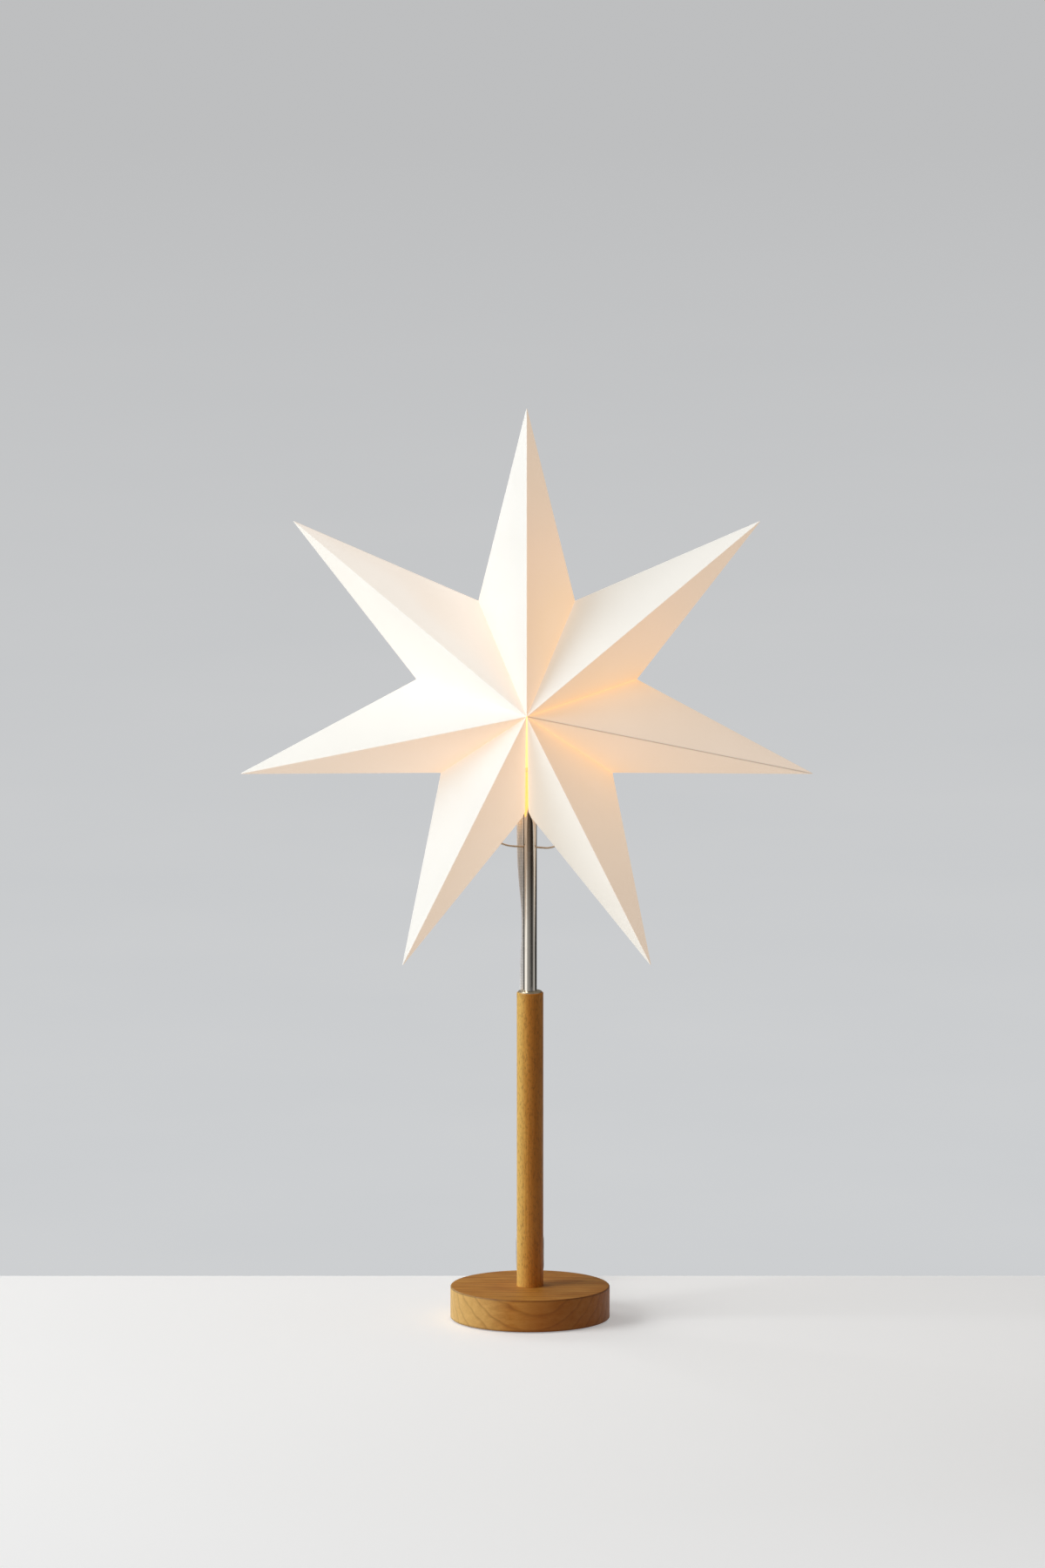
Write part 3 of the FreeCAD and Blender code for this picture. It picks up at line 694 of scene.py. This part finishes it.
# How strongly a darker line shows on a ray's front ridge and on every back ridge: a glued seam, partly
# painted shade along the crease
SEAM_SHADES = {"right": 1.0, "left": 0.12}
BACK_SEAM_SHADE = 0.35


def ray_angle(number):
    """Angle of a ray clockwise from up, in radians."""
    return math.radians(-180 + 2 * sum(HALF_ANGLES[:number]) + HALF_ANGLES[number])


def ray_point(spot, angle):
    """From a ray's own frame (across, depth, outward) to the lamp's frame."""
    across, depth, outward = spot
    return STAR_CENTRE + Vector((
        across * math.cos(angle) + outward * math.sin(angle),
        depth,
        outward * math.cos(angle) - across * math.sin(angle),
    ))


def ray_spots(number):
    """Points and faces of one ray's four facets in its own frame, each slightly swollen."""
    half = math.radians(HALF_ANGLES[number])
    tip = Vector((0, 0, STAR_RADIUS))
    found, spots, faces = {}, [], []
    for face_side in (-1, 1):
        peak = Vector((0, face_side * STAR_DEPTH, 0))
        for hand in (-1, 1):
            corner = Vector((hand * CORNER_RADIUS * math.sin(half), 0, CORNER_RADIUS * math.cos(half)))
            outward = (tip - peak).cross(corner - peak).normalized()
            if outward.dot(corner) < 0:
                outward = -outward
            grid = {}
            for out in range(FACET_STEPS + 1):
                for side in range(FACET_STEPS + 1 - out):
                    shares = (1 - (out + side) / FACET_STEPS, out / FACET_STEPS, side / FACET_STEPS)
                    spot = peak * shares[0] + tip * shares[1] + corner * shares[2]
                    swell = 27 * math.prod(shares)
                    own = Vector((number * 7.0, hand * 3.0, face_side * 5.0))
                    ripple = noise.noise(spot * RIPPLES_PER_METRE + own)
                    spot = spot + outward * (swell * BULGE + min(swell, 1.0) * ripple * WAVER)
                    key = tuple(round(c * 1e6) for c in spot)
                    if key not in found:
                        found[key] = len(spots)
                        spots.append(spot)
                    grid[out, side] = found[key]
            for out in range(FACET_STEPS):
                for side in range(FACET_STEPS - out):
                    ahead, beside = grid[out + 1, side], grid[out, side + 1]
                    faces.append((grid[out, side], ahead, beside))
                    if side + out < FACET_STEPS - 1:
                        faces.append((ahead, grid[out + 1, side + 1], beside))
    return spots, faces


def open_slit(point, hand):
    """Move a point of a lower ray off the slit plane, so that the slit is open."""
    offset = point - STAR_CENTRE
    if offset.z > 0:
        return point
    share = min(1.0, math.hypot(offset.x, offset.z) / CORNER_RADIUS)
    half_gap = SLIT_AT_CENTRE + (SLIT_AT_CORNER - SLIT_AT_CENTRE) * share
    if offset.x * hand < half_gap:
        point = point.copy()
        point.x = STAR_CENTRE.x + hand * half_gap
    return point


def ray_mesh(number):
    """One folded sheet: thin, with soft creases, and its distances to the folds as attributes."""
    name = RAY_NAMES[number]
    angle = ray_angle(number)
    half = math.radians(HALF_ANGLES[number])
    spots, faces = ray_spots(number)
    points = [ray_point(spot, angle) for spot in spots]
    if name.startswith("lower"):
        hand = -1 if name.endswith("left") else 1
        points = [open_slit(point, hand) for point in points]
    mesh = mesh_of("paper_ray_" + name, points, faces)
    store(mesh, "ridge", [abs(spot.x) for spot in spots])
    store(mesh, "rim", [abs(spot.y) for spot in spots])
    across, outward = math.cos(half), math.sin(half)
    store(mesh, "valley", [spot.z * outward - abs(spot.x) * across for spot in spots])
    store(mesh, "leak", [LEAKS[number + (spot.x > 0)] for spot in spots])
    store(mesh, "seam_shade", [SEAM_SHADES.get(name, 0.0) if spot.y < 0 else BACK_SEAM_SHADE for spot in spots])
    return mesh


def ray_piece(number, materials):
    """One ray with rounded creases, the paper's thickness and, at the bottom, the slit's mouth."""
    name = RAY_NAMES[number]
    piece = to_piece("paper_ray_" + name, ray_mesh(number), "star_paper", materials, "ray_" + name)
    crease = piece.modifiers.new("crease", "BEVEL")
    crease.width = CREASE_ROUND
    crease.segments = 2
    crease.limit_method = "ANGLE"
    crease.angle_limit = math.radians(20)
    sheet = piece.modifiers.new("sheet", "SOLIDIFY")
    sheet.thickness = PAPER
    sheet.offset = -1.0
    sheet.material_offset = 1
    sheet.material_offset_rim = 0
    applied(piece)
    if name.startswith("lower"):
        cut_by(piece, cylinder_cutter(MOUTH_RADIUS, MOUTH, MOUTH + MOUTH_HEIGHT))
    smooth(piece.data, 14.0)


outer = outer_paper()
inner = inner_paper()
for number in range(len(RAY_NAMES)):
    ray_piece(number, [outer, inner])


# Tie string across the back of the rod

LEFT_HOLE = 0.0245
RIGHT_HOLE = 0.0268
STRING_INSIDE = 0.004
STRING_OUTSIDE = 0.0014
STRAND = 0.00032
STRING_PITCH = 0.0028
KNOT = 0.0013


def rim_point(hand, from_corner):
    """A point on a lower ray's rim and the direction into that ray."""
    tip_angle = math.radians(180 - HALF_ANGLES[0])
    tip = Vector((hand * math.sin(tip_angle), 0, math.cos(tip_angle))) * STAR_RADIUS
    corner = Vector((0, 0, -CORNER_RADIUS))
    along = (tip - corner).normalized()
    return STAR_CENTRE + corner + along * from_corner, Vector((-hand * along.z, 0, hand * along.x))


def twisted(line, radius, pitch, strands):
    """Strands wound round a line."""
    lines = [[] for _ in range(strands)]
    normal = None
    length = 0.0
    for number, centre in enumerate(line):
        ahead = (line[min(number + 1, len(line) - 1)] - line[max(number - 1, 0)]).normalized()
        normal = ahead.orthogonal().normalized() if normal is None else normal
        normal = (normal - ahead * normal.dot(ahead)).normalized()
        side = ahead.cross(normal)
        if number:
            length += (centre - line[number - 1]).length
        for strand in range(strands):
            angle = 2 * math.pi * (length / pitch + strand / strands)
            lines[strand].append(centre + (normal * math.cos(angle) + side * math.sin(angle)) * radius)
    return lines


def divided(line, step):
    """The same line with points at most a step apart."""
    finer = [line[0]]
    for point in line[1:]:
        start = finer[-1]
        count = max(1, math.ceil((point - start).length / step))
        finer += [start.lerp(point, (index + 1) / count) for index in range(count)]
    return finer


def tie_string():
    """Two twisted strands from one lower ray round the back of the rod to the other."""
    left, left_in = rim_point(-1, LEFT_HOLE)
    right, right_in = rim_point(1, RIGHT_HOLE)
    behind, side, height = 0.00485, 0.0035, 0.2842
    knots = [left + left_in * STRING_INSIDE, right + right_in * STRING_INSIDE]
    line = route_of([
        knots[0],
        left - left_in * STRING_OUTSIDE,
        Vector((-side, behind, height)),
        Vector((side, behind, height)),
        right - right_in * STRING_OUTSIDE,
        knots[1],
    ])
    mesh = tubes("tie_string_twist", twisted(divided(line, 0.0004), STRAND, STRING_PITCH, 2), STRAND, 8)
    with opened(mesh) as bm:
        for knot in knots:
            made = bmesh.ops.create_icosphere(bm, subdivisions=3, radius=KNOT)
            for vertex in made["verts"]:
                lumpy = 1 + 0.18 * noise.noise(vertex.co * 1800.0)
                vertex.co = vertex.co * lumpy + knot
    smooth(mesh, 60.0)
    string = braided("string_fibre", rgb(0.97, 0.90, 0.80), rgb(0.80, 0.68, 0.55), 0.0012, 2)
    to_piece("tie_string_twist", mesh, "tie_string", [string], "tie_string")


tie_string()


# Foot, post, ferrule and rod

FELT_RADIUS = 42.1
FELT_TOP = 1.6
POST_BORE = 5.55
POST_BORE_LOW = 182.0
FERRULE_RADIUS = 7.0
FERRULE_BUSH = 5.5
FERRULE_BORE = 4.05
FERRULE_TOP = 198.3
FERRULE_LOW = 178.3
ROD_RADIUS = 4.0
ROD_LOW = 180.3
ROD_TOP = 342.3

foot_profile = [(0, FELT_TOP), (FELT_RADIUS, FELT_TOP), (FELT_RADIUS, FOOT_LOW)]
foot_profile += rounded(FOOT_RADIUS, FOOT_LOW, FOOT_TOP, 0.7) + [(30, FOOT_TOP), (0, FOOT_TOP)]
foot = lathe("foot_turned", foot_profile, 192)
to_piece("foot_turned", foot, "foot_wood", [foot_wood()], "base_disc")

post_profile = [(0, FOOT_TOP), (POST_RADIUS, FOOT_TOP)]
post_profile += [(POST_RADIUS, 20.0 + 4.4 * number) for number in range(41)]
post_profile += [(POST_RADIUS, POST_TOP - 0.5), (POST_RADIUS - 0.12, POST_TOP - 0.15),
                 (POST_RADIUS - 0.45, POST_TOP), (POST_BORE, POST_TOP), (POST_BORE, POST_BORE_LOW),
                 (0, POST_BORE_LOW)]
post = lathe("post_turned", post_profile, 96)
to_piece("post_turned", post, "post_wood", [post_wood()], "wooden_post")

ferrule_profile = [(FERRULE_BORE, FERRULE_TOP), (FERRULE_RADIUS - 0.3, FERRULE_TOP),
                   (FERRULE_RADIUS - 0.06, FERRULE_TOP - 0.1), (FERRULE_RADIUS, FERRULE_TOP - 0.3),
                   (FERRULE_RADIUS, POST_TOP), (FERRULE_BUSH, POST_TOP),
                   (FERRULE_BUSH, FERRULE_LOW), (FERRULE_BORE, FERRULE_LOW)]
pale_metal = metal("ferrule_metal", rgb(0.90, 0.85, 0.74), (0.30, 0.42), (300.0, 300.0, 300.0))
ferrule = lathe("ferrule_turned", ferrule_profile, 96)
to_piece("ferrule_turned", ferrule, "ferrule_metal", [pale_metal], "post_ferrule")

rod_profile = [(0, ROD_LOW), (ROD_RADIUS - 0.2, ROD_LOW), (ROD_RADIUS, ROD_LOW + 0.2)]
rod_profile += [(ROD_RADIUS, 186.0 + 10.0 * number) for number in range(16)]
rod_profile += [(ROD_RADIUS, ROD_TOP - 0.3), (ROD_RADIUS - 0.2, ROD_TOP), (0, ROD_TOP)]
nickel = metal("rod_nickel", rgb(0.84, 0.82, 0.79), (0.05, 0.11))
to_piece("rod_drawn", lathe("rod_drawn", rod_profile, 96), "rod_nickel", [nickel], "nickel_rod")


# Bulb, inside the star

GLASS_LOW = 381.9
GLASS_NECK = 7.4
GLASS_RADIUS = 14.0
GLASS_MIDDLE = 411.9
NECK_STEPS = 9
DOME_STEPS = 12
CAP_LOW = 362.7
THREAD_LOW = 366.9
THREAD_RADIUS = 6.55
THREAD_SWELL = 0.28
THREAD_STEP = 0.42
STEPS_A_TURN = 8
TURNS = 4


def bulb_profile():
    """Pear-shaped glass from its neck up."""
    neck = GLASS_LOW + 0.7
    profile = [(0, GLASS_LOW), (GLASS_NECK - 0.5, GLASS_LOW), (GLASS_NECK, neck)]
    for number in range(1, NECK_STEPS):
        share = number / NECK_STEPS
        swell = (GLASS_RADIUS - GLASS_NECK) * share * share * (3 - 2 * share)
        profile.append((GLASS_NECK + swell, neck + (GLASS_MIDDLE - neck) * share))
    for number in range(DOME_STEPS):
        angle = math.pi / 2 * number / DOME_STEPS
        radius, rise = GLASS_RADIUS * math.cos(angle), GLASS_RADIUS * math.sin(angle)
        profile.append((radius, GLASS_MIDDLE + rise))
    return profile + [(0, GLASS_MIDDLE + GLASS_RADIUS)]


def cap_profile():
    """Screw cap of the bulb, with its thread as rolled ridges."""
    profile = [(0, CAP_LOW), (2.2, CAP_LOW), (2.3, CAP_LOW + 2.2), (6.0, CAP_LOW + 3.5)]
    for number in range(TURNS * STEPS_A_TURN + 1):
        swell = THREAD_SWELL * math.cos(2 * math.pi * number / STEPS_A_TURN)
        profile.append((THREAD_RADIUS + swell, THREAD_LOW + number * THREAD_STEP))
    return profile + [(6.85, GLASS_LOW - 0.9), (6.85, GLASS_LOW), (0, GLASS_LOW)]


brass = metal("contact_brass", rgb(0.83, 0.68, 0.38), (0.22, 0.34), (200.0, 200.0, 200.0))
glass = lathe("bulb_glass", bulb_profile(), 64)
to_piece("bulb_glass", glass, "bulb_glass", [frosted_glass()], "light_bulb")
to_piece("bulb_cap", lathe("bulb_cap", cap_profile(), 64), "contact_brass", [brass])


# Mains cord: down behind the rod and post, then folded into a hank behind the foot

CORD = 0.004
HANK_NEAR = 118.0
HANK_FAR = 170.0
RUN_NEAR = HANK_NEAR + 3.0
RUN_FAR = HANK_FAR - 3.0
HANK_MIDDLE = 14.0
OUTER_FOLD = 12.0
INNER_FOLD = 8.0
TIE_DIP = 6.0
FOLD_ANGLES = (75, 45, 15, -15, -45, -75)
PLACES_APART = 4.0
PLUG_X = -6.0
PLUG_Z = 6.85

cord_route = [
    (-6.0, 8.5, 314.7),
    (-6.0, 8.5, 296.0),
    (-5.6, 8.0, 271.0),
    (-2.4, 8.5, 240.0),
    (-4.4, 9.9, 207.0),
    (-3.4, 11.3, 172.0),
    (-1.4, 10.8, 134.0),
    (0.3, 11.9, 98.0),
    (0.4, 17.5, 64.0),
    (-0.2, 37.0, 41.0),
    (-2.5, 62.0, 31.0),
    (-6.0, 84.0, 26.0),
    (-6.0, 104.0, 26.0),
]


def fold(x, fold_radius, far):
    """Half a turn at the hank's far end, downwards, or at its near end, upwards."""
    reach = fold_radius / math.cos(math.radians(15))
    points = []
    for degrees in FOLD_ANGLES:
        angle = math.radians(degrees)
        along, rise = reach * math.cos(angle), reach * math.sin(angle)
        if far:
            points.append((x, HANK_FAR + along, HANK_MIDDLE + rise))
        else:
            points.append((x, HANK_NEAR - along, HANK_MIDDLE - rise))
    return points


def top_run(x, fold_radius):
    """A run from the near end to the far end, drawn down where the tie holds it."""
    height = HANK_MIDDLE + fold_radius
    middle = (HANK_NEAR + HANK_FAR) / 2
    dips = [(RUN_NEAR, 0.0), (RUN_NEAR + 7.0, 0.0), (RUN_NEAR + 14.0, 0.35), (middle - 2.5, 1.0),
            (middle + 2.5, 1.0), (RUN_FAR - 14.0, 0.35), (RUN_FAR - 7.0, 0.0), (RUN_FAR, 0.0)]
    return [(x, y, height - TIE_DIP * share) for y, share in dips]


def bottom_run(x, to_x, shift_at, fold_radius, to_fold=None):
    """A run back to the near end, stepping to the next place in one stretch."""
    low = HANK_MIDDLE - fold_radius
    end_low = low if to_fold is None else HANK_MIDDLE - to_fold
    start, stop = shift_at
    points = [(x, RUN_FAR, low)]
    for y in (start + 5.0, start, stop, stop - 5.0):
        if RUN_NEAR < y < RUN_FAR - 1.0:
            done = y <= stop
            points.append((to_x if done else x, y, end_low if done else low))
    points.append((to_x, RUN_NEAR, end_low))
    return points


def hank_route():
    """Four outer turns, then three inner turns, ending under the first one."""
    places = [-6.0, -2.0, 2.0, 6.0]
    points = []
    for x in places:
        points += top_run(x, OUTER_FOLD) + fold(x, OUTER_FOLD, True)
        if x < places[-1]:
            following = x + PLACES_APART
            points += bottom_run(x, following, (134.0, 126.0), OUTER_FOLD)
            points += fold(following, OUTER_FOLD, False)
        else:
            points += bottom_run(x, x, (150.0, 142.0), OUTER_FOLD, INNER_FOLD)
            points += fold(x, INNER_FOLD, False)
    for x in places[:0:-1]:
        following = x - PLACES_APART
        points += top_run(x, INNER_FOLD) + fold(x, INNER_FOLD, True)
        points += bottom_run(x, following, (164.0, 156.0), INNER_FOLD)
        if following > places[0]:
            points += fold(following, INNER_FOLD, False)
    return points + [(PLUG_X, 110.0, 6.4), (PLUG_X, 104.0, PLUG_Z), (PLUG_X, 97.0, PLUG_Z)]


def mains_cord():
    """The whole cord as one piece, with the points and the length of its centre line."""
    control = [Vector(point) * MM for point in cord_route + hank_route()]
    line = route_of(control, 6)
    mesh = tubes("mains_cord_line", [line], CORD / 2, 16)
    cover = braided("cord_cover", rgb(1.0, 1.0, 1.0), rgb(0.88, 0.88, 0.875), 0.0034, 4)
    solids = ("mains_cord", "cord_hank", "cord_tail")
    piece = to_piece("mains_cord_line", mesh, "cord_cover", [cover], *solids)
    length = sum((after - before).length for before, after in zip(line, line[1:]))
    return piece, line, length


def outline(width, height, power, count):
    """A rounded rectangle across a part, as (x, z) pairs."""
    ring = []
    for number in range(count):
        angle = 2 * math.pi * number / count
        cosine, sine = math.cos(angle), math.sin(angle)
        ring.append((
            math.copysign(abs(cosine) ** (2 / power), cosine) * width / 2,
            math.copysign(abs(sine) ** (2 / power), sine) * height / 2,
        ))
    return ring


def lofted(name, sections, x, z, count=56):
    """A closed body through (y, width, height, power) sections, in millimetres."""
    points, faces = [], []
    for y, width, height, power in sections:
        points += [((x + a) * MM, y * MM, (z + b) * MM) for a, b in outline(width, height, power, count)]
    for row in range(len(sections) - 1):
        for step in range(count):
            after = (step + 1) % count
            low, high = row * count, (row + 1) * count
            faces.append((low + step, low + after, high + after, high + step))
    faces.append(tuple(range(count)))
    faces.append(tuple(range((len(sections) - 1) * count, len(sections) * count)))
    mesh = mesh_of(name, points, faces)
    smooth(mesh, 40.0)
    return mesh


def plug():
    """Flat two-pin plug body, with a ribbed grip that narrows to the cord."""
    sections = [(68.0, 33.4, 12.1, 4.5), (68.3, 34.3, 13.0, 4.5), (68.9, 35.0, 13.6, 4.5),
                (75.4, 35.0, 13.6, 4.5), (76.4, 34.2, 13.2, 4.2), (79.0, 28.5, 11.6, 3.6),
                (82.0, 24.2, 10.6, 3.2), (83.2, 23.9, 10.4, 3.0)]
    for rib in range(4):
        y, width, height = 84.0 + rib * 1.9, 23.2 - rib * 1.7, 10.0 - rib * 0.55
        sections += [(y, width, height, 3.0), (y + 0.3, width - 1.0, height - 0.8, 2.8),
                     (y + 0.9, width - 1.1, height - 0.9, 2.8), (y + 1.2, width - 0.4, height - 0.2, 2.8)]
    sections += [(92.0, 12.0, 7.0, 2.2), (94.0, 8.4, 6.0, 2.0), (96.6, 7.0, 5.6, 2.0), (97.0, 6.2, 5.2, 2.0)]
    body = lofted("plug_moulded", sections, PLUG_X, PLUG_Z)
    white = moulded("plug_plastic", rgb(0.93, 0.925, 0.91))
    return to_piece("plug_moulded", body, "plug_plastic", [white], "plug_body")


PIN_RADIUS = 0.002
PIN_ASIDE = 9.3
PIN_STATIONS = (49.0, 49.25, 49.7, 50.4, 51.0, 56.0, 62.0, 69.0, 73.5)


def pins():
    """Two round pins with domed ends, from their ends into the plug."""
    lines = [[Vector((x, y, PLUG_Z)) * MM for y in PIN_STATIONS]
             for x in (PLUG_X - PIN_ASIDE, PLUG_X + PIN_ASIDE)]

    def size(length):
        from_dome = 1 - min(length / PIN_RADIUS, 1.0)
        return PIN_RADIUS * min(1.0, math.sqrt(max(0.06, 1 - from_dome ** 2)))

    mesh = tubes("plug_pin_pair", lines, size, 32)
    return to_piece("plug_pin_pair", mesh, "pin_brass", [brass], "plug_pins")


STRAP_MIDDLE = 11.45
STRAP_STATIONS = (142.0, 142.25, 145.75, 146.0)


def tie_band():
    """A flat strap round the middle of the hank, as four rings of outer and inner points."""
    ring = outline(16.9, 22.6, 9.0, 64) + outline(16.1, 21.8, 9.0, 64)
    count = len(ring) // 2
    points = [(a * MM, y * MM, (STRAP_MIDDLE + b) * MM) for y in STRAP_STATIONS for a, b in ring]
    faces = []
    last = (len(STRAP_STATIONS) - 1) * 2 * count
    for step in range(count):
        after = (step + 1) % count
        for low in range(0, last, 2 * count):
            high = low + 2 * count
            faces.append((low + step, low + after, high + after, high + step))
            low, high = low + count, high + count
            faces.append((low + after, low + step, high + step, high + after))
        faces.append((after, step, count + step, count + after))
        faces.append((last + step, last + after, last + count + after, last + count + step))
    mesh = mesh_of("hank_strap", points, faces)
    smooth(mesh, 40.0)
    white = moulded("tie_plastic", rgb(0.9, 0.9, 0.88), 0.6)
    return to_piece("hank_strap", mesh, "tie_plastic", [white], "hank_tie")


cord_piece, cord_line, cord_length = mains_cord()
plug_piece = plug()
pin_piece = pins()
strap_piece = tie_band()


# Finish of the solids that stay as they are

steel = metal("zinc_steel", rgb(0.78, 0.78, 0.77), (0.25, 0.38), (250.0, 250.0, 250.0))
white_plastic = moulded("holder_plastic", rgb(0.94, 0.94, 0.92), 0.3)
ceramic = moulded("holder_ceramic", rgb(0.93, 0.92, 0.88), 0.25, 0.5)
kept = {
    "felt_pad": felt(),
    "base_screw": steel,
    "rod_collar": steel,
    "rod_nut": steel,
    "terminal_screws": steel,
    "holder_cap": white_plastic,
    "holder_sleeve": white_plastic,
    "contact_block": ceramic,
    "thread_shell": brass,
    "centre_contact": brass,
    "cord_grip": moulded("grip_plastic", rgb(0.92, 0.92, 0.90)),
}
for node, material in kept.items():
    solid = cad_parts[node]
    solid.data.materials.clear()
    solid.data.materials.append(material)


# Ground, light and camera

LAMP_MIDDLE = Vector((0.0, 0.0, 0.28))
WINDOW_DISTANCE = 3.1


def ground():
    """A level plane at the height of the table top."""
    mesh = bpy.data.meshes.new("ground")
    with opened(mesh) as bm:
        bmesh.ops.create_grid(bm, x_segments=8, y_segments=8, size=12.0)
    mesh.materials.append(floor_surface())
    plane = placed("ground", mesh)


def soft_light(name, place, size, power, colour):
    """A square lamp that points at the middle of the object."""
    lamp = bpy.data.lights.new(name, "AREA")
    lamp.size = size
    lamp.energy = power
    lamp.color = colour
    holder = placed(name, lamp)
    holder.location = place
    aim = LAMP_MIDDLE - place
    holder.rotation_euler = aim.to_track_quat("-Z", "Y").to_euler()


def surroundings():
    """Dim even light from all round."""
    world = bpy.data.worlds.new("studio")
    world.use_nodes = True
    sky = world.node_tree.nodes["Background"].inputs
    sky["Color"].default_value = (1.0, 0.975, 0.95, 1.0)
    sky["Strength"].default_value = 0.17
    bpy.context.scene.world = world


def camera():
    """A long lens ten metres away, looking down a little."""
    distance = 10.0
    pitch = math.radians(9.5)
    centre = Vector((-0.0045, 0.0, 0.3230))
    lens = bpy.data.cameras.new("camera")
    lens.sensor_fit = "VERTICAL"
    lens.sensor_height = 36.0
    lens.lens = 386.8
    lens.clip_end = 100.0
    holder = placed("camera", lens)
    holder.location = centre + Vector((0, -math.cos(pitch), math.sin(pitch))) * distance
    holder.rotation_euler = (math.pi / 2 - pitch, 0, 0)
    bpy.context.scene.camera = holder


ground()
soft_light("window", DAYLIGHT * WINDOW_DISTANCE + LAMP_MIDDLE, size=1.9, power=68.0,
           colour=(0.99, 1.0, 1.0))
soft_light("wall", Vector((-1.5, 1.6, 1.2)), size=1.2, power=13.0, colour=(1.0, 0.99, 0.98))
surroundings()
camera()
bpy.context.scene.view_settings.view_transform = "Standard"
